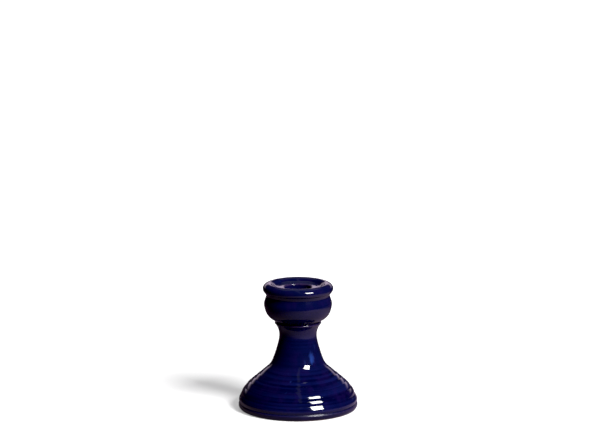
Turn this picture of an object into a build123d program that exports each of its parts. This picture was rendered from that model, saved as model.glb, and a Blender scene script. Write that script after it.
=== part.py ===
"""Glazed stoneware candlestick for one taper candle.

A wheel-thrown foot and stem, hollow from below, carries a wheel-thrown candle cup. The cup is luted
on the stem's flared top with slip, and one coat of cobalt glaze covers both down to just above the
foot. The origin is the centre of the foot on the table, +Z points up the axis, and sizes are in
millimetres. Every profile is drawn as (radius, height) and turned about Z.
"""

from build123d import *

import os

# Overall sizes
height = 108.8
stem_top = 76.0

# Foot: a rounded roll, 4 inches across, that stands on the table. A sharp groove ends it
foot_edge_radius = 49.4  # outer edge of the resting ring
foot_roll = [(50.95, 2.6), (50.85, 4.6)]
foot_groove = (49.9, 5.5)

# Bell of the foot: five throwing ribs, each from one groove to the next. The first is the fullest
first_rib = [(50.7, 7.4), (50.6, 9.0)]
first_rib_flank = 0.02
rib_bulges = [0.10, 0.075, 0.05, 0.05]  # how far each other rib stands out, as a share of its width
grooves = [(48.5, 12.6), (45.15, 18.35), (40.6, 23.4), (36.7, 26.8), (32.9, 30.0)]
groove_round = 0.8

# Sweep of the stem: arcs from the neck down to the last groove, and up to the flared top
neck = (16.1, 64.0)  # the thinnest place
sweep_points = [(16.6, 59.4), (22.0, 42.0), (26.8, 35.5)]
stem_flare = (19.6, 73.8)
stem_bead = (20.0, 75.0)
stem_rim = (19.2, stem_top)

# Luting slip between the stem and the cup
slip_thickness = 0.5
cup_foot_height = stem_top + slip_thickness

# Candle cup
cup_foot_radius = 19.1
cup_bowl = [(24.3, 79.4), (27.5, 84.0)]
cup_belly = [(29.0, 89.6), (28.75, 93.0)]
cup_waist = (27.0, 98.2)
lip_widest = (30.1, 104.1)
lip_under_roll = 4.0
lip_roll = 4.2
lip_roll_turn = 50
lip_crest = (24.5, height)
dish_floor_radius = 17.0
dish_depth = 3.3
socket_radius = 11.5  # a 7/8 inch taper candle with room for wax
socket_depth = 24.0
socket_floor_round = 1.5
mouth_round = 1.2

# Walls
glaze_thickness = 0.4
glaze_end_height = 0.4  # the glaze is wiped off below this, so that the foot doesn't stick to the kiln
ceiling_centre = (16.1, -2.5)
ceiling_radius = 28.8
stem_bore_radius = 9.5
bore_points = [(9.7, 58.0), (15.5, 40.0)]

dish_floor_height = height - dish_depth
socket_floor_height = dish_floor_height - socket_depth
dish_edge = (dish_floor_radius, dish_floor_height)
dish_mid = ((lip_crest[0] + dish_edge[0]) / 2, (lip_crest[1] + dish_edge[1]) / 2)

reach = 60  # past the widest radius
spare = 2  # how far a profile runs past the axis and the table before it is trimmed


def is_groove(vertex):
    """Whether a corner of the outline is the bottom of a groove."""
    bottoms = (foot_groove, *grooves, cup_waist)
    return any((Vector(vertex) - Vector(*point)).length < 0.01 for point in bottoms)


def rib_arc(start, end, bulge):
    """An arc that stands out by a share of its width."""
    width = (Vector(*end) - start).length
    return SagittaArc(start, end, -bulge * width)


def trim(low, high):
    """Keep the half of a profile on the +X side, between two heights."""
    with Locations((0, low)):
        Rectangle(reach, high - low, align=(Align.MIN, Align.MIN), mode=Mode.INTERSECT)


# The glazed outside, from the table up to the crest of the lip
with BuildLine() as outer_line:
    foot = ThreePointArc((foot_edge_radius, 0), *foot_roll)
    Line(foot @ 1, foot_groove)
    rib = ThreePointArc(foot_groove, *first_rib)
    rib = rib_arc(rib @ 1, grooves[0], first_rib_flank)
    for groove, bulge in zip(grooves[1:], rib_bulges):
        rib = rib_arc(rib @ 1, groove, bulge)
    sweep = TangentArc(neck, sweep_points[0], tangent=(0, -1))
    for point in (*sweep_points[1:], rib @ 1):
        sweep = TangentArc(sweep @ 1, point, tangent=sweep % 1)
    flare = TangentArc(neck, stem_flare, tangent=(0, 1))
    bead = ThreePointArc(flare @ 1, stem_bead, stem_rim)
    joint = Line(bead @ 1, (cup_foot_radius, cup_foot_height))
    belly = ThreePointArc(joint @ 1, *cup_bowl)
    for point in (*cup_belly, cup_waist):
        belly = TangentArc(belly @ 1, point, tangent=belly % 1)
    under_lip = CenterArc((lip_widest[0] - lip_under_roll, lip_widest[1]), lip_under_roll, -55, 55)
    Line(cup_waist, under_lip @ 0)
    over_lip = CenterArc((lip_widest[0] - lip_roll, lip_widest[1]), lip_roll, 0, lip_roll_turn)
    TangentArc(over_lip @ 1, lip_crest, tangent=over_lip % 1)

# The whole outline, closed past the axis and below the table
with BuildSketch() as outline:
    with BuildLine():
        add(outer_line.line)
        inner_lip = TangentArc(lip_crest, dish_mid, tangent=(-1, 0))
        TangentArc(inner_lip @ 1, dish_edge, tangent=inner_lip % 1)
        dish_floor = Line(dish_edge, (socket_radius + mouth_round, dish_floor_height))
        mouth = TangentArc(
            dish_floor @ 1, (socket_radius, dish_floor_height - mouth_round), tangent=(-1, 0)
        )
        wall = Line(mouth @ 1, (socket_radius, socket_floor_height + socket_floor_round))
        corner = TangentArc(
            wall @ 1, (socket_radius - socket_floor_round, socket_floor_height), tangent=(0, -1)
        )
        Polyline(
            corner @ 1,
            (-spare, socket_floor_height),
            (-spare, -spare),
            (foot_edge_radius, -spare),
            (foot_edge_radius, 0),
        )
    make_face()

# The glaze pools in the grooves between the ribs and under the lip, and rounds them
with BuildSketch() as glazed:
    add(outline.sketch)
    fillet(glazed.vertices().filter_by(is_groove), groove_round)

with BuildSketch() as clay:
    add(outline.sketch)
    offset(amount=-glaze_thickness)

# The hollow that the potter opened from below, up through the stem
with BuildSketch() as hollow:
    with BuildLine():
        ceiling = CenterArc(ceiling_centre, ceiling_radius, -6, 64)
        sweep_inside = TangentArc((stem_bore_radius, neck[1]), bore_points[0], tangent=(0, -1))
        for point in (*bore_points[1:], ceiling @ 1):
            sweep_inside = TangentArc(sweep_inside @ 1, point, tangent=sweep_inside % 1)
        Polyline(
            (stem_bore_radius, neck[1]),
            (stem_bore_radius, stem_top + spare),
            (0, stem_top + spare),
            (0, (ceiling @ 0).Y),
            ceiling @ 0,
        )
    make_face()

with BuildPart() as foot_and_stem:
    with BuildSketch(Plane.XZ):
        add(clay.sketch)
        trim(0, stem_top)
        add(hollow.sketch, mode=Mode.SUBTRACT)
    revolve(axis=Axis.Z)

with BuildPart() as slip_joint:
    with BuildSketch(Plane.XZ):
        add(clay.sketch)
        trim(stem_top, cup_foot_height)
        add(hollow.sketch, mode=Mode.SUBTRACT)
    revolve(axis=Axis.Z)

with BuildPart() as candle_cup:
    with BuildSketch(Plane.XZ):
        add(clay.sketch)
        trim(cup_foot_height, height)
    revolve(axis=Axis.Z)

with BuildPart() as cobalt_glaze:
    with BuildSketch(Plane.XZ):
        add(glazed.sketch)
        add(clay.sketch, mode=Mode.SUBTRACT)
        trim(glaze_end_height, height + spare)
    revolve(axis=Axis.Z)

foot_and_stem.part.label = "foot_and_stem"
slip_joint.part.label = "slip_joint"
candle_cup.part.label = "candle_cup"
cobalt_glaze.part.label = "cobalt_glaze"

os.makedirs("parts", exist_ok=True)
export_step(foot_and_stem.part, "parts/foot_and_stem.step")
export_step(slip_joint.part, "parts/slip_joint.step")
export_step(candle_cup.part, "parts/candle_cup.step")
export_step(cobalt_glaze.part, "parts/cobalt_glaze.step")
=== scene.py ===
"""Looks of a short stoneware candlestick, thrown on a wheel and glazed cobalt blue.

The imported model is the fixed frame. The glaze, the foot and the slip are turned again here as
finer meshes on the same outline, with what the potter's fingers left on them: throwing lines, ribs
that wander a little, and a soft lower edge to the glaze. Outlines are (radius, height) in
millimetres, as they were designed, and become metres when a mesh is made.
"""

from math import atan2, ceil, cos, pi, radians, sin

import bpy
import numpy as np
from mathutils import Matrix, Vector


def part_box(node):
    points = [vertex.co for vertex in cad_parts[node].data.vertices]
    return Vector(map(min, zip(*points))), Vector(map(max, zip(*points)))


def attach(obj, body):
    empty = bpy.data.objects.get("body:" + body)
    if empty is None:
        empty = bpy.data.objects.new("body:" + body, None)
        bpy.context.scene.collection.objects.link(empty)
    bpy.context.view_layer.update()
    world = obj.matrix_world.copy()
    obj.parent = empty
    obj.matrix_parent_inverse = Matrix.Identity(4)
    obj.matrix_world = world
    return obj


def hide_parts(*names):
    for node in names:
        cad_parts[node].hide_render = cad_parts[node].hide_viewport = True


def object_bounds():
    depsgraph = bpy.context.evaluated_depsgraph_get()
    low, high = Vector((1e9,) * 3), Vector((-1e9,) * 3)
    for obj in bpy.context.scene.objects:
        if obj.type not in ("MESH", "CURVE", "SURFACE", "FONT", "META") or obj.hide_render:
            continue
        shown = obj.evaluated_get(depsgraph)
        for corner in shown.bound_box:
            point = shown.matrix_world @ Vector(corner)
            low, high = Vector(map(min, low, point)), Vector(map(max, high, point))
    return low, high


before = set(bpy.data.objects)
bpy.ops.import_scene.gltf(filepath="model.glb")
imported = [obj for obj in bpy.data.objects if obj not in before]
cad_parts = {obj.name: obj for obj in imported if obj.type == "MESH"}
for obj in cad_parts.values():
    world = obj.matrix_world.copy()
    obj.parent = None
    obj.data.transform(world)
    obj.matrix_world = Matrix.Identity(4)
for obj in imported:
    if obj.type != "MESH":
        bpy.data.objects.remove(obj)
cad_low, cad_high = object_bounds()

MM = 0.001


def top_of(node):
    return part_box(node)[1].z / MM


def bottom_of(node):
    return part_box(node)[0].z / MM


# ------------------------------------------------------------ sizes, in millimetres

HEIGHT = top_of("cobalt_glaze")
STEM_TOP = top_of("foot_and_stem")
CUP_FOOT_HEIGHT = bottom_of("candle_cup")
GLAZE_END = bottom_of("cobalt_glaze")
GLAZE = 0.4

FOOT_EDGE = (49.4, 0.0)
FOOT_ROLL = [(50.95, 2.6), (50.85, 4.6)]
FOOT_GROOVE = (49.9, 5.5)
FIRST_RIB = [(50.7, 7.4), (50.6, 9.0)]
FIRST_RIB_FLANK = 0.02
RIB_BULGES = [0.10, 0.075, 0.05, 0.05]
GROOVES = [(48.5, 12.6), (45.15, 18.35), (40.6, 23.4), (36.7, 26.8), (32.9, 30.0)]
NECK = (16.1, 64.0)
SWEEP = [(16.6, 59.4), (22.0, 42.0), (26.8, 35.5)]
STEM_FLARE = (19.6, 73.8)
STEM_BEAD = [(20.0, 75.0), (19.2, STEM_TOP)]
CUP_FOOT_RADIUS = 19.1
CUP_BOWL = [(24.3, 79.4), (27.5, 84.0)]
CUP_BELLY = [(29.0, 89.6), (28.75, 93.0)]
CUP_WAIST = (27.0, 98.2)
LIP_WIDEST = np.array([30.1, 104.1])
LIP_UNDER_ROLL = 4.0
LIP_UNDER_TURN = radians(55)
LIP_ROLL = 4.2
LIP_ROLL_TURN = radians(50)
LIP_CREST = np.array([24.5, HEIGHT])
DISH_EDGE = np.array([17.0, HEIGHT - 3.3])
SOCKET_RADIUS = 11.5
SOCKET_DEPTH = 24.0
SOCKET_FLOOR_ROUND = 1.5
MOUTH_ROUND = 1.2
CEILING_CENTRE = np.array([16.1, -2.5])
CEILING_RADIUS = 28.8
CEILING_END = radians(58)
BORE_RADIUS = 9.5
BORE_SWEEP = [(9.7, 58.0), (15.5, 40.0)]
FOOT_BEVEL = 0.6
SLIP_RADIUS = 18.7
SLIP_BEAD = [(8.5, CUP_FOOT_HEIGHT), (8.8, STEM_TOP - 0.2), (BORE_RADIUS, STEM_TOP - 0.6)]

UP, DOWN = pi / 2, -pi / 2


# ------------------------------------------------------------ outlines

class Path:
    """A path of (radius, height) points, drawn with lines and arcs."""

    def __init__(self, start, heading=None, step=0.1):
        self.points = [np.array(start, float)]
        self.heading = heading
        self.step = step

    def line(self, end):
        start, way = self.points[-1], np.array(end, float) - self.points[-1]
        count = max(1, ceil(np.linalg.norm(way) / self.step))
        self.points += [start + way * i / count for i in range(1, count + 1)]
        self.heading = atan2(way[1], way[0])
        return self

    def turn(self, centre, angle):
        """Go round centre by an angle, anticlockwise if it is positive."""
        centre = np.array(centre, float)
        spoke = self.points[-1] - centre
        count = max(2, ceil(abs(angle) * np.linalg.norm(spoke) / self.step))
        for i in range(1, count + 1):
            c, s = cos(angle * i / count), sin(angle * i / count)
            turned = (c * spoke[0] - s * spoke[1], s * spoke[0] + c * spoke[1])
            self.points.append(centre + turned)
        self.heading += angle
        return self

    def curve(self, end):
        """An arc that leaves along the heading and reaches end."""
        chord = np.array(end, float) - self.points[-1]
        half = (atan2(chord[1], chord[0]) - self.heading + pi) % (2 * pi) - pi
        if abs(half) < 1e-4:
            return self.line(end)
        radius = np.linalg.norm(chord) / (2 * sin(half))
        centre = self.points[-1] + radius * np.array([-sin(self.heading), cos(self.heading)])
        return self.turn(centre, 2 * half)

    def arc(self, middle, end):
        """An arc through middle to end."""
        second = np.array(end, float) - middle
        whole = np.array(end, float) - self.points[-1]
        first = whole - second
        inner = atan2(whole[0] * second[1] - whole[1] * second[0], whole @ second)
        self.heading = atan2(first[1], first[0]) - inner
        return self.curve(end)

    def bulge(self, end, share):
        """An arc to end that stands out, to the right, by a share of its width."""
        way = np.array(end, float) - self.points[-1]
        return self.arc(self.points[-1] + way / 2 + share * np.array([way[1], -way[0]]), end)

    def join(self, points):
        self.points += list(points)[1:]
        return self


def glazed_outline():
    """The glaze's outer surface, from the table up, over the lip and down into the socket."""
    path = Path(FOOT_EDGE).arc(*FOOT_ROLL).line(FOOT_GROOVE).arc(*FIRST_RIB)
    path.bulge(GROOVES[0], FIRST_RIB_FLANK)
    for groove, bulge in zip(GROOVES[1:], RIB_BULGES):
        path.bulge(groove, bulge)
    sweep = Path(NECK, DOWN)
    for point in (*SWEEP, GROOVES[-1]):
        sweep.curve(point)
    path.join(reversed(sweep.points))

    path.heading = UP
    path.curve(STEM_FLARE).arc(*STEM_BEAD).line((CUP_FOOT_RADIUS, CUP_FOOT_HEIGHT)).arc(*CUP_BOWL)
    for point in (*CUP_BELLY, CUP_WAIST):
        path.curve(point)

    under = LIP_WIDEST - (LIP_UNDER_ROLL, 0)
    path.line(under + LIP_UNDER_ROLL * np.array([cos(LIP_UNDER_TURN), -sin(LIP_UNDER_TURN)]))
    path.heading = UP - LIP_UNDER_TURN
    path.turn(under, LIP_UNDER_TURN)
    path.turn(LIP_WIDEST - (LIP_ROLL, 0), LIP_ROLL_TURN).curve(LIP_CREST)

    path.curve((LIP_CREST + DISH_EDGE) / 2).curve(DISH_EDGE)
    path.line((SOCKET_RADIUS + MOUTH_ROUND, DISH_EDGE[1]))
    path.curve((SOCKET_RADIUS, DISH_EDGE[1] - MOUTH_ROUND))
    floor = DISH_EDGE[1] - SOCKET_DEPTH
    path.line((SOCKET_RADIUS, floor + SOCKET_FLOOR_ROUND))
    path.turn((SOCKET_RADIUS - SOCKET_FLOOR_ROUND, floor + SOCKET_FLOOR_ROUND), -pi / 2)
    return np.array(path.line((0, floor)).points)


def hollow_outline():
    """The bare clay inside, from the top of the bore down and out to the resting ring."""
    sweep = Path((BORE_RADIUS, STEM_TOP)).line((BORE_RADIUS, NECK[1]))
    end = CEILING_CENTRE + CEILING_RADIUS * np.array([cos(CEILING_END), sin(CEILING_END)])
    for point in (*BORE_SWEEP, end):
        sweep.curve(point)
    above_table = np.arcsin((FOOT_BEVEL - CEILING_CENTRE[1]) / CEILING_RADIUS)
    return np.array(sweep.turn(CEILING_CENTRE, above_table - CEILING_END).points)


def soften(values, width):
    """A blur that leaves the two ends where they are."""
    if width < 1:
        return values
    reach = int(3 * width)
    bell = np.exp(-0.5 * (np.arange(-reach, reach + 1) / width) ** 2)
    longer = np.pad(values, reach, mode="reflect", reflect_type="odd")
    return np.convolve(longer, bell / bell.sum(), mode="valid")


class Outline:
    """A softened outline, read by the distance along it. Its outside is on the right."""

    STEP = 0.05

    def __init__(self, points, blur):
        rough = np.concatenate([[0], np.cumsum(np.linalg.norm(np.diff(points, axis=0), axis=1))])
        self.along = np.arange(0, rough[-1], self.STEP)
        self.radius, self.height = (
            soften(np.interp(self.along, rough, points[:, i]), blur / self.STEP) for i in (0, 1)
        )
        way = np.gradient(self.radius) + 1j * np.gradient(self.height)
        self.out = -1j * way / abs(way)
        self.bend = np.gradient(np.unwrap(np.angle(way)), self.STEP)

    def read(self, values, along):
        return np.interp(along, self.along, values)

    def reach(self, height):
        """How far along the outline it first comes up to a height."""
        return self.along[np.argmax(self.height >= height)]

    def rows(self, start, end, step):
        """Places from start to end, about step apart. There is a step for each outline point."""
        inside = (self.along >= start) & (self.along <= end)
        count = np.cumsum(self.STEP / step[inside])
        return np.interp(np.linspace(0, count[-1], ceil(count[-1])), count, self.along[inside])


# ------------------------------------------------------------ what the hands left

chance = np.random.default_rng(11)


def unevenness(slant, orders):
    """A slow, smooth unevenness round the pot and up it, between -1 and 1."""
    terms = []
    for order in orders:
        size = chance.uniform(0.6, 1.0) / order
        phase = chance.uniform(0, 2 * pi)
        terms.append((order, size, phase, chance.uniform(-slant, slant)))
    most = sum(size for _, size, _, _ in terms)
    return lambda turn, along: sum(
        size * np.cos(order * turn + phase + climb * along) for order, size, phase, climb in terms
    ) / most


drift = unevenness(0.15, (1, 2, 3))
wander = unevenness(0.06, (1, 2, 3, 5))
finger_wander = unevenness(0.10, (1, 2, 4))
edge_wave = unevenness(0.0, (2, 3, 5, 8, 13))


def fade(values, low, high):
    """0 below low, 1 above high, and smooth between."""
    share = np.clip((values - low) / (high - low), 0, 1)
    return share * share * (3 - 2 * share)


COLUMNS = 180
TURN = np.linspace(0, 2 * pi, COLUMNS, endpoint=False)[None, :]

glazed = Outline(glazed_outline(), blur=0.15)
plain = Outline(glazed_outline(), blur=2.6)
LIP_ALONG = glazed.along[np.argmax(glazed.height)]
RIBS_END = glazed.reach(GROOVES[-1][1] + 2)
RIBS_COME_IN = (2, 6)  # along the outline, where the drift of the ribs starts and is full
RIBS_FADE = 6
INSIDE_FADE = 8

WANDER = 0.10  # how far the wall wanders in from true, each way
CALM_INSIDE = 0.7  # how much of that is lost past the lip, where the candle goes
RING_PITCH = 2.2
RING_DEPTH = 0.008
RIB_DRIFT = 0.35  # how far the ribs move up and down
SHALLOW_SIDE = radians(190)  # the side where the ribs are shallowest
SHALLOW = 0.22


def thrown_surface(rows, depth=0.0):
    """Radius and height of every point of the glazed surface, or of one under it by depth."""
    along = rows[:, None] + 0 * TURN
    on_ribs = (1 - fade(along, RIBS_END - RIBS_FADE, RIBS_END)) * fade(along, *RIBS_COME_IN)
    along = along + RIB_DRIFT * on_ribs * drift(TURN, along)
    shallow = SHALLOW * (1 + np.cos(TURN - SHALLOW_SIDE)) * on_ribs
    surface = [
        (1 - shallow) * glazed.read(part, along) + shallow * plain.read(smooth, along)
        for part, smooth in ((glazed.radius, plain.radius), (glazed.height, plain.height))
    ]
    out = glazed.read(glazed.out.real, along) + 1j * glazed.read(glazed.out.imag, along)
    outside = 1 - CALM_INSIDE * fade(along, LIP_ALONG, LIP_ALONG + INSIDE_FADE)
    rings = 1 + np.cos(2 * pi * along / RING_PITCH - TURN)
    inward = outside * (WANDER * (1 + wander(TURN, along)) + RING_DEPTH * rings) + depth
    return surface[0] - inward * out.real, surface[1] - inward * out.imag


# ------------------------------------------------------------ meshes

def turned_mesh(name, radius, height, values=None):
    """A closed mesh from rows of points round the axis, the first row joined to the last.

    A row on the axis becomes one point. values has one number for each row, and is kept as the
    attribute named thin.
    """
    points = np.stack([radius * np.cos(TURN), radius * np.sin(TURN), height + 0 * TURN], -1) * MM
    rows = len(points)
    on_axis = radius.max(1) < 1e-6
    count = np.where(on_axis, 1, COLUMNS)
    first = np.concatenate([[0], np.cumsum(count)[:-1]])
    at = first[:, None] + np.where(on_axis[:, None], 0, np.arange(COLUMNS))
    faces = []
    for row in range(rows):
        after = (row + 1) % rows
        if not (on_axis[row] and on_axis[after]):
            corners = at[row], np.roll(at[row], -1), np.roll(at[after], -1), at[after]
            faces += [tuple(dict.fromkeys(face)) for face in np.stack(corners, -1).tolist()]
    vertices = np.concatenate([points[i, : count[i]] for i in range(rows)])
    mesh = bpy.data.meshes.new(name)
    mesh.from_pydata(vertices.tolist(), [], faces)
    if values is not None:
        thin = mesh.attributes.new("thin", "FLOAT", "POINT")
        thin.data.foreach_set("value", np.repeat(values, count).astype(np.float32))
    mesh.shade_smooth()
    mesh.validate()
    piece = bpy.data.objects.new(name, mesh)
    bpy.context.scene.collection.objects.link(piece)
    return piece


def ring_rows(points):
    """The same row of (radius, height) points all the way round."""
    radius, height = np.array(points, float).T[:, :, None]
    return radius + 0 * TURN, height + 0 * TURN


def stack(*parts):
    return tuple(np.concatenate([part[i] for part in parts]) for i in (0, 1))


EDGE_WAVE = 0.15  # how far the glaze's lower edge waves, each way
EDGE_HEIGHT = 3  # the wave fades out this far up
EDGE_DROP = 0.15  # how far the middle of that edge hangs below its two sides
FINE, MIDDLE, COARSE = 0.14, 0.5, 1.3  # between rows: in bends, elsewhere, on the dish's floor
ROW_TURN = 0.08  # the most that the outline turns from one row to the next, in radians
UNDER_STEPS = 3  # rows on the hidden side are this much further apart
ROW_BEND_REACH, GLAZE_BEND_REACH = 4, 6  # outline points over which a bend is felt

on_dish_floor = (glazed.along > LIP_ALONG) & (glazed.radius < DISH_EDGE[0] - 0.5)
widest_step = np.where(on_dish_floor, COARSE, MIDDLE)
row_bend = abs(soften(glazed.bend, ROW_BEND_REACH))
row_step = np.clip(ROW_TURN / (row_bend + 1e-6), FINE, widest_step)


def glaze_coat():
    """The glaze: a shell with a soft, slightly wavy lower edge."""
    start = glazed.reach(GLAZE_END)
    rows = glazed.rows(start, glazed.along[-1], row_step)
    under = glazed.rows(start, glazed.along[-1], row_step * UNDER_STEPS)[::-1]
    outer, inner = thrown_surface(rows), thrown_surface(under, GLAZE)
    outer[0][-1] = inner[0][0] = 0
    lift = EDGE_WAVE * (1 + edge_wave(TURN, 0))
    near_edge = [1 - fade(part[1], GLAZE_END, GLAZE_END + EDGE_HEIGHT) for part in (outer, inner)]
    outer[1][:] += lift * near_edge[0]
    inner[1][:] += lift * near_edge[1]
    edge = ((outer[0][:1] + inner[0][-1:]) / 2, (outer[1][:1] + inner[1][-1:]) / 2 - EDGE_DROP)
    thin = soften(glazed.bend, GLAZE_BEND_REACH)
    values = np.concatenate([glazed.read(thin, rows), glazed.read(thin, under), [0.0]])
    return turned_mesh("glaze_coat", *stack(outer, inner, edge), values)


FINGER_PITCH = 4.6
FINGER_DEPTH = 0.22
FINGER_FADE = 4
HOLLOW_BLUR = 0.8
HOLLOW_STEP = 0.55
TOP_RADII = (SLIP_RADIUS - 0.5, 14, BORE_RADIUS + 0.4)


def thrown_foot():
    """The bare clay of foot and stem: a trimmed resting ring, and finger rings in the hollow."""
    rows = glazed.rows(0, glazed.reach(STEM_TOP), row_step * UNDER_STEPS)
    outer = thrown_surface(rows, GLAZE)
    top = ring_rows([(radius, STEM_TOP) for radius in TOP_RADII])

    hollow = Outline(hollow_outline(), blur=HOLLOW_BLUR)
    rows = hollow.rows(0, hollow.along[-1], np.full(len(hollow.along), HOLLOW_STEP))
    along = rows[:, None] + 0 * TURN
    last = hollow.along[-1]
    ends = fade(along, 0, FINGER_FADE) * (1 - fade(along, last - FINGER_FADE, last))
    rings = np.cos(2 * pi * along / FINGER_PITCH - TURN + 1.5 * finger_wander(TURN, along))
    depth = FINGER_DEPTH * ends * (rings + finger_wander(TURN, along))
    radius = hollow.read(hollow.radius, along) - depth * hollow.read(hollow.out.real, along)
    height = hollow.read(hollow.height, along) - depth * hollow.read(hollow.out.imag, along)

    inner_edge, outer_edge = hollow.radius[-1], outer[0][0].max()
    resting_ring = ring_rows(
        [
            (inner_edge + 0.3 * FOOT_BEVEL, 0.25 * FOOT_BEVEL),
            (inner_edge + FOOT_BEVEL, 0),
            ((inner_edge + outer_edge) / 2, 0),
            (outer_edge - FOOT_BEVEL, 0),
        ]
    )
    return turned_mesh("thrown_foot", *stack(outer, top, (radius, height), resting_ring))


BEAD_WOBBLE = 0.3


def squeezed_slip():
    """The slip between stem and cup, with the bead that it squeezed out into the bore."""
    path = Path((BORE_RADIUS, STEM_TOP), step=0.2).line((SLIP_RADIUS, STEM_TOP))
    path.line((SLIP_RADIUS, CUP_FOOT_HEIGHT)).line(SLIP_BEAD[0]).arc(*SLIP_BEAD[1:])
    path.line((BORE_RADIUS, STEM_TOP - 0.1))
    radius, height = ring_rows(path.points)
    bead = 1 - fade(radius, SLIP_BEAD[0][0] + 0.3, BORE_RADIUS)
    return turned_mesh("squeezed_slip", radius - BEAD_WOBBLE * bead * edge_wave(TURN, 0), height)


# ------------------------------------------------------------ materials

def new_material(name):
    material = bpy.data.materials.new(name)
    material.use_nodes = True
    material.node_tree.nodes.clear()
    return material


def add_node(tree, kind, sockets=None, **settings):
    """A shader node. A socket is given a value, or another node's socket to be linked to."""
    node = tree.nodes.new("ShaderNode" + kind)
    for name, value in settings.items():
        setattr(node, name, value)
    for name, value in (sockets or {}).items():
        if isinstance(value, bpy.types.NodeSocket):
            tree.links.new(value, node.inputs[name])
        else:
            node.inputs[name].default_value = value
    return node


def add_noise(tree, place, scale, detail=2.0, stretch=(1, 1, 1)):
    """Noise whose scale is the number of features in a metre."""
    placed = add_node(tree, "Mapping", {"Vector": place, "Scale": stretch})
    sockets = {"Vector": placed.outputs[0], "Scale": scale, "Detail": detail}
    return add_node(tree, "TexNoise", sockets).outputs["Fac"]


def add_spread(tree, value, low, high, to_low=0.0, to_high=1.0):
    """A smooth change from to_low to to_high while value goes from low to high."""
    ends = {"From Min": low, "From Max": high, "To Min": to_low, "To Max": to_high}
    spread = add_node(tree, "MapRange", {"Value": value, **ends}, interpolation_type="SMOOTHSTEP")
    return spread.outputs["Result"]


def add_mix(tree, share, first, second):
    """The colour that goes from first to second as share goes from 0 to 1."""
    mix = add_node(tree, "Mix", data_type="RGBA")
    for index, value in ((0, share), (6, first), (7, second)):
        if isinstance(value, bpy.types.NodeSocket):
            tree.links.new(value, mix.inputs[index])
        else:
            mix.inputs[index].default_value = value if index == 0 else (*value, 1)
    return mix.outputs[2]


def add_bump(tree, height, distance, strength=1.0, under=None):
    sockets = {"Height": height, "Distance": distance, "Strength": strength}
    if under is not None:
        sockets["Normal"] = under
    return add_node(tree, "Bump", sockets).outputs[0]


def add_surface(tree, **sockets):
    """The whole surface. A socket's name is written with underscores for its spaces."""
    named = {name.replace("_", " "): value for name, value in sockets.items()}
    shader = add_node(tree, "BsdfPrincipled", named)
    add_node(tree, "OutputMaterial", {"Surface": shader.outputs[0]})


DEEP_COBALT = (0.0007, 0.0010, 0.013)
COBALT = (0.0026, 0.0042, 0.037)
EVEN_COBALT = (0.0016, 0.0026, 0.023)
VIOLET_COBALT = (0.0056, 0.0026, 0.032)
# the glaze's pale streaks; near the stem's painted pool of light this colour is also painted light
STREAK_AND_PAINTED_GLOW_COBALT = (0.010, 0.026, 0.13)
THIN_COBALT = (0.020, 0.011, 0.040)
PAINTED_GLOW_CENTRE = (0.0105, -0.0176, 0.0465)  # centre of painted light low on the stem, in metres: a pool of light thrown up off the flare, painted as paler streaks
PAINTED_GLOW_REACH = 0.009
SATIN = 0.28  # the foot's roll is less glossy, where the glaze was sponged thin
SATIN_HEIGHTS = (0.0050, 0.0062)
STEM_STARTS = (0.030, 0.042)  # heights over which the bands of the ribs give way to the even stem
LINE_DEPTH, PEEL_DEPTH, PIT_DEPTH = 0.00001, 0.00001, 0.00002


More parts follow.
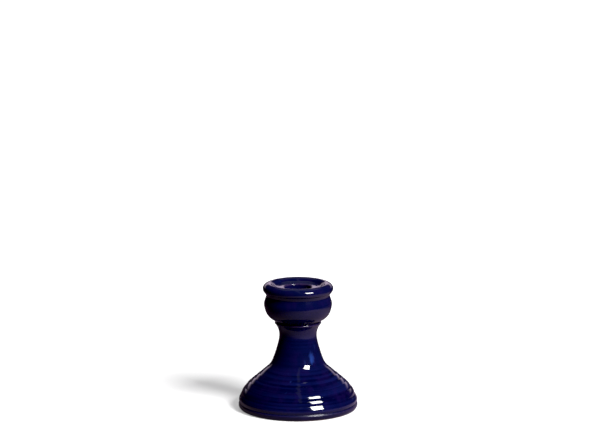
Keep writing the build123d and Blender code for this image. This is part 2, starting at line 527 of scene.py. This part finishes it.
def cobalt_material():
    """Deep cobalt glass: banded, streaked, blooming violet, brownish where it is thin, and painted
    paler where light pools on the stem.

    The attribute named thin is the outline's bend: above 0 on edges, below 0 where glaze pools.
    """
    material = new_material("cobalt_glaze")
    tree = material.node_tree
    place = add_node(tree, "TexCoord").outputs["Object"]
    thin = add_node(tree, "Attribute", attribute_name="thin").outputs["Fac"]
    bands = add_noise(tree, place, 420, 2, stretch=(0.015, 0.015, 1))
    clouds = add_noise(tree, place, 38, 3)
    runs = add_noise(tree, place, 260, 3, stretch=(1, 1, 0.2))
    broken = add_noise(tree, place, 420, 4)
    colour = add_mix(tree, add_spread(tree, bands, 0.35, 0.65), DEEP_COBALT, COBALT)
    height = add_node(tree, "SeparateXYZ", {0: place}).outputs["Z"]
    colour = add_mix(tree, add_spread(tree, height, *STEM_STARTS, 0, 0.75), colour, EVEN_COBALT)
    colour = add_mix(tree, add_spread(tree, clouds, 0.45, 0.75, 0, 0.5), colour, DEEP_COBALT)
    blooms = add_noise(tree, place, 150, 3, stretch=(1, 1, 0.6))
    colour = add_mix(tree, add_spread(tree, blooms, 0.40, 0.70, 0, 0.45), colour, VIOLET_COBALT)
    # painted light: near the painted glow's centre the streaks turn paler, standing in for light
    # thrown up off the flare
    from_painted_glow = add_node(tree, "VectorMath", {0: place, 1: PAINTED_GLOW_CENTRE}, operation="DISTANCE")
    streaks_and_painted_glow = add_spread(tree, from_painted_glow.outputs["Value"], 0.002, PAINTED_GLOW_REACH, 0.28, 0)
    streaks_and_painted_glow = add_node(tree, "Math", {0: runs, 1: streaks_and_painted_glow}, operation="ADD").outputs[0]
    colour = add_mix(tree, add_spread(tree, streaks_and_painted_glow, 0.66, 1.05), colour, STREAK_AND_PAINTED_GLOW_COBALT)
    edges = add_node(tree, "Math", {0: thin, 1: broken}, operation="MULTIPLY").outputs[0]
    colour = add_mix(tree, add_spread(tree, edges, 0.10, 0.45, 0, 0.8), colour, THIN_COBALT)
    colour = add_mix(tree, add_spread(tree, thin, -0.5, -0.05, 0.6, 0), colour, DEEP_COBALT)

    lines = add_bump(tree, bands, LINE_DEPTH, add_spread(tree, height, *STEM_STARTS, 1, 0.3))
    peel = add_bump(tree, add_noise(tree, place, 650, 1), PEEL_DEPTH, under=lines)
    pits = add_node(tree, "TexVoronoi", {"Vector": place, "Scale": 260.0, "Randomness": 1.0})
    pits = add_spread(tree, pits.outputs["Distance"], 0.05, 0.10)
    roughness = add_spread(tree, add_noise(tree, place, 70, 3), 0.3, 0.7, 0.035, 0.075)
    satin = add_spread(tree, height, *SATIN_HEIGHTS, SATIN, 0)
    roughness = add_node(tree, "Math", {0: roughness, 1: satin}, operation="MAXIMUM").outputs[0]
    add_surface(
        tree,
        Base_Color=colour,
        Roughness=roughness,
        IOR=1.38,
        Normal=add_bump(tree, pits, PIT_DEPTH, 0.3, peel),
    )
    return material


BUFF = (0.50, 0.375, 0.26)
PALE_SLIP = (0.58, 0.45, 0.33)
TOASTED = (0.30, 0.15, 0.065)
TOASTED_RADII = (0.0450, 0.0492)
TOASTED_HEIGHT = 0.003
IRON_SPECK = (0.07, 0.035, 0.02)
DARKER_CLAY = 0.8


def clay_material(name, colour, sand, speckled):
    """Fired clay: sandy, speckled with iron, and toasted where the glaze ends."""
    material = new_material(name)
    tree = material.node_tree
    place = add_node(tree, "TexCoord").outputs["Object"]
    flat = add_node(tree, "VectorMath", {0: place, 1: (1, 1, 0)}, operation="MULTIPLY")
    radius = add_node(tree, "VectorMath", {0: flat.outputs[0]}, operation="LENGTH").outputs["Value"]
    height = add_node(tree, "SeparateXYZ", {0: place}).outputs["Z"]
    clouds = add_noise(tree, place, 60, 4)
    darker = [DARKER_CLAY * part for part in colour]
    tone = add_mix(tree, add_spread(tree, clouds, 0.3, 0.7), colour, darker)
    outer = add_spread(tree, radius, *TOASTED_RADII)
    low = add_spread(tree, height, 0.0, TOASTED_HEIGHT, 1, 0)
    flash = add_node(tree, "Math", {0: outer, 1: low}, operation="MULTIPLY").outputs[0]
    flash = add_node(tree, "Math", {0: flash, 1: clouds}, operation="MULTIPLY").outputs[0]
    tone = add_mix(tree, flash, tone, TOASTED)
    specks = add_node(tree, "TexVoronoi", {"Vector": place, "Scale": 420.0})
    size = add_spread(tree, add_noise(tree, place, 300, 1), 0.4, 0.7, 0.02, speckled)
    from_speck = specks.outputs["Distance"]
    inside = add_node(tree, "Math", {0: from_speck, 1: size}, operation="LESS_THAN")
    tone = add_mix(tree, inside.outputs[0], tone, IRON_SPECK)
    grit = add_noise(tree, place, 1800, 3)
    add_surface(
        tree,
        Base_Color=tone,
        Roughness=add_spread(tree, grit, 0.3, 0.7, 0.68, 0.9),
        Normal=add_bump(tree, grit, sand),
    )
    return material


def paint(piece, material):
    piece.data.materials.clear()
    piece.data.materials.append(material)


cobalt = cobalt_material()
stoneware = clay_material("stoneware", BUFF, sand=0.00012, speckled=0.26)
slip = clay_material("luting_slip", PALE_SLIP, sand=0.00004, speckled=0.12)

PIECES = [
    (glaze_coat, cobalt, "cobalt_glaze", "cobalt_glaze"),
    (thrown_foot, stoneware, "foot_and_stem", "stoneware"),
    (squeezed_slip, slip, "slip_joint", "luting_slip"),
]
for make, material, node, slot in PIECES:
    piece = make()
    paint(piece, material)
    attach(piece, "root")
    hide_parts(node)
paint(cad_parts["candle_cup"], stoneware)


# ------------------------------------------------------------ stage, in metres

FLOOR_SIDE, FLOOR_FRONT, FLOOR_BACK = 8.0, 0.33, 12.0
FLOOR_WHITE = 0.52
FLOOR_GLOW = 0.36
GLOW_EDGE = (0.12, 0.9)  # from the candlestick, where the glow starts to grow to full white
POOL_CENTRE = (0.20, -0.12, 0.0)  # the part of the sheet that is bright in the glaze
POOL_EDGE = (0.05, 0.42)
MIRRORED_NEAR, MIRRORED_FAR = (0.37, 0.275, 0.38), (0.035, 0.02, 0.03)


def add_floor():
    """A white sheet that ends a little way in front of the candlestick.

    The camera sees it brighter than the glaze mirrors it, as in a print with deep blacks.
    """
    corners = [(-FLOOR_SIDE, -FLOOR_FRONT), (FLOOR_SIDE, -FLOOR_FRONT)]
    corners += [(FLOOR_SIDE, FLOOR_BACK), (-FLOOR_SIDE, FLOOR_BACK)]
    mesh = bpy.data.meshes.new("floor")
    mesh.from_pydata([(x, y, cad_low.z) for x, y in corners], [], [(0, 1, 2, 3)])
    floor = bpy.data.objects.new("floor", mesh)
    bpy.context.scene.collection.objects.link(floor)
    material = new_material("floor")
    tree = material.node_tree
    place = add_node(tree, "TexCoord").outputs["Object"]
    away = add_node(tree, "VectorMath", {0: place}, operation="LENGTH").outputs["Value"]
    pool = add_node(tree, "VectorMath", {0: place, 1: POOL_CENTRE}, operation="DISTANCE")
    seen = add_node(tree, "LightPath").outputs["Is Camera Ray"]
    glow = add_spread(tree, away, *GLOW_EDGE, FLOOR_GLOW, 1.0)
    glow = add_node(tree, "Math", {0: seen, 1: glow}, operation="MULTIPLY").outputs[0]
    from_pool = add_spread(tree, pool.outputs["Value"], *POOL_EDGE)
    mirrored = add_mix(tree, from_pool, MIRRORED_NEAR, MIRRORED_FAR)
    shade = add_mix(tree, seen, mirrored, (FLOOR_WHITE, FLOOR_WHITE, FLOOR_WHITE))
    matt = add_node(tree, "BsdfDiffuse", {"Color": shade})
    light = add_node(tree, "Emission", {"Strength": glow})
    both = add_node(tree, "AddShader", {0: matt.outputs[0], 1: light.outputs[0]})
    add_node(tree, "OutputMaterial", {"Surface": both.outputs[0]})
    paint(floor, material)


ROOM_DARK = 0.02  # what the glaze mirrors wherever there is no wall
BACK_BRIGHT = 1.35
BACK_TINT = (1.0, 0.80, 1.0, 1)
BACK_REACH = (0.70, 0.96)  # cosines of the angle from straight back
WALL_FOOT, WALL_TOP = (0.10, 0.19), (0.20, 0.34)  # sines of the elevation
WALL_FOOT_DARK = 0.035


def add_room():
    """White to the camera. To everything else it is dark, with a bright low wall at the back."""
    world = bpy.data.worlds.new("room")
    bpy.context.scene.world = world
    world.use_nodes = True
    tree = world.node_tree
    tree.nodes.clear()
    way = add_node(tree, "TexCoord").outputs["Generated"]
    height = add_node(tree, "SeparateXYZ", {0: way}).outputs["Z"]
    back = add_node(tree, "VectorMath", {0: way, 1: (0, 1, 0)}, operation="DOT_PRODUCT")
    behind = add_spread(tree, back.outputs["Value"], *BACK_REACH, ROOM_DARK, BACK_BRIGHT)
    below_top = add_spread(tree, height, *WALL_TOP, 1, 0)
    above_foot = add_spread(tree, height, *WALL_FOOT, WALL_FOOT_DARK, 1)
    wall = add_node(tree, "Math", {0: below_top, 1: above_foot}, operation="MULTIPLY").outputs[0]
    strength = add_node(tree, "Math", {0: behind, 1: wall}, operation="MULTIPLY").outputs[0]
    strength = add_node(tree, "Math", {0: strength, 1: ROOM_DARK}, operation="MAXIMUM").outputs[0]
    dark = add_node(tree, "Background", {"Color": BACK_TINT, "Strength": strength})
    white = add_node(tree, "Background", {"Color": (1, 1, 1, 1), "Strength": 1.0})
    seen = add_node(tree, "LightPath").outputs["Is Camera Ray"]
    both = add_node(tree, "MixShader", {0: seen, 1: dark.outputs[0], 2: white.outputs[0]})
    add_node(tree, "OutputWorld", {"Surface": both.outputs[0]})


def direction(right, up):
    """The direction that is right of the camera's side of the object and up, in degrees."""
    right, up = radians(right), radians(up)
    return Vector((sin(right) * cos(up), -cos(right) * cos(up), sin(up)))


LIT_CENTRE = Vector((0, 0, 0.05))


def add_softbox(name, right, up, distance, width, height, power, mirrored=True):
    """A rectangular lamp that faces the object. The glaze shows it only if it is mirrored."""
    lamp = bpy.data.lights.new(name, "AREA")
    lamp.shape = "RECTANGLE"
    lamp.size, lamp.size_y, lamp.energy = width, height, power
    softbox = bpy.data.objects.new(name, lamp)
    softbox.location = LIT_CENTRE + distance * direction(right, up)
    softbox.rotation_euler = (-direction(right, up)).to_track_quat("-Z", "Y").to_euler()
    softbox.visible_camera = False
    softbox.visible_glossy = mirrored
    bpy.context.scene.collection.objects.link(softbox)


VIEW_DISTANCE = 2.6
VIEW_ELEVATION = 13.4
AIM_ABOVE = 2.353  # the object stands low in the picture
VIEW_TARGET = Vector((0.00175, 0, 0.054))
LENS = 182.7
PRINT_BLACK = 0.0028


def add_camera():
    camera = bpy.data.objects.new("camera", bpy.data.cameras.new("camera"))
    camera.location = VIEW_TARGET + VIEW_DISTANCE * direction(0, VIEW_ELEVATION)
    camera.rotation_euler = (radians(90 - VIEW_ELEVATION + AIM_ABOVE), 0, 0)
    camera.data.sensor_width = 36
    camera.data.lens = LENS
    bpy.context.scene.collection.objects.link(camera)
    bpy.context.scene.camera = camera


def set_print():
    """A plain print with its deepest shadows pressed to black."""
    look = bpy.context.scene.view_settings
    look.view_transform = "Standard"
    look.use_curve_mapping = True
    look.curve_mapping.black_level = (PRINT_BLACK, PRINT_BLACK, PRINT_BLACK)
    look.curve_mapping.update()


add_floor()
add_room()
add_softbox("key", 44, 40.5, 2.0, 0.74, 0.70, 105)
add_softbox("strip", 7, 75, 1.5, 0.13, 2.0, 0.22)
add_softbox("top", 180, 58, 1.5, 1.0, 0.7, 0.8)
add_softbox("fill", 185, 25, 2.0, 1.5, 1.0, 22, mirrored=False)
add_camera()
set_print()
